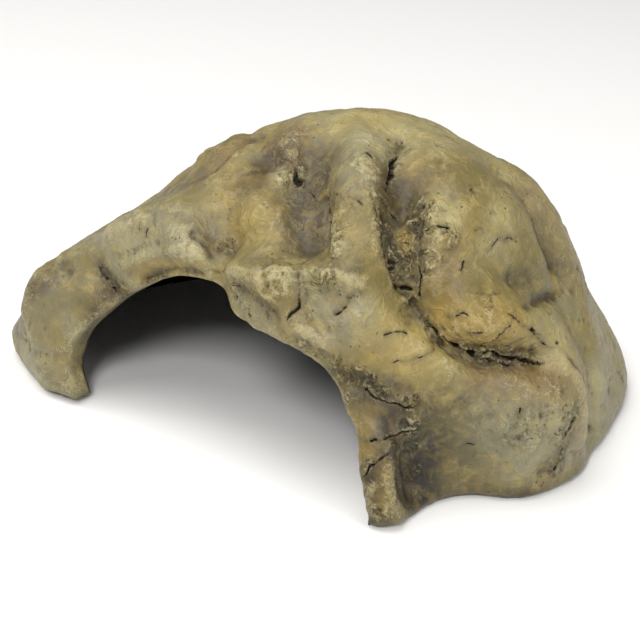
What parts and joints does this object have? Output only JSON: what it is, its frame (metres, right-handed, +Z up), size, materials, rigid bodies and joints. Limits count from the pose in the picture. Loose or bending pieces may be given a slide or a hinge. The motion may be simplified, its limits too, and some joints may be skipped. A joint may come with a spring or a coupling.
{
  "type": "resin cave ornament",
  "caption": "Hollow cast-resin rock dome with an arched mouth and open base; shelter and basking hide for an aquarium, pond edge or terrarium.",
  "frame": {"origin": "centre of the bounding box's bottom face, on the surface that the pads stand on", "axes": "+X across the mouth towards the steep side, -Y out of the mouth, +Z up"},
  "size_m": [0.1848, 0.1294, 0.0852],
  "materials": {
    "cast_resin": "hand-painted stone effect, matte",
    "black_rubber": "matte"
  },
  "bodies": {
    "root": {"cave_shell": "cast_resin", "foot_pad_front_left": "black_rubber", "foot_pad_front_right": "black_rubber", "foot_pad_back_right": "black_rubber", "foot_pad_back_left": "black_rubber"}
  },
  "joints": []
}
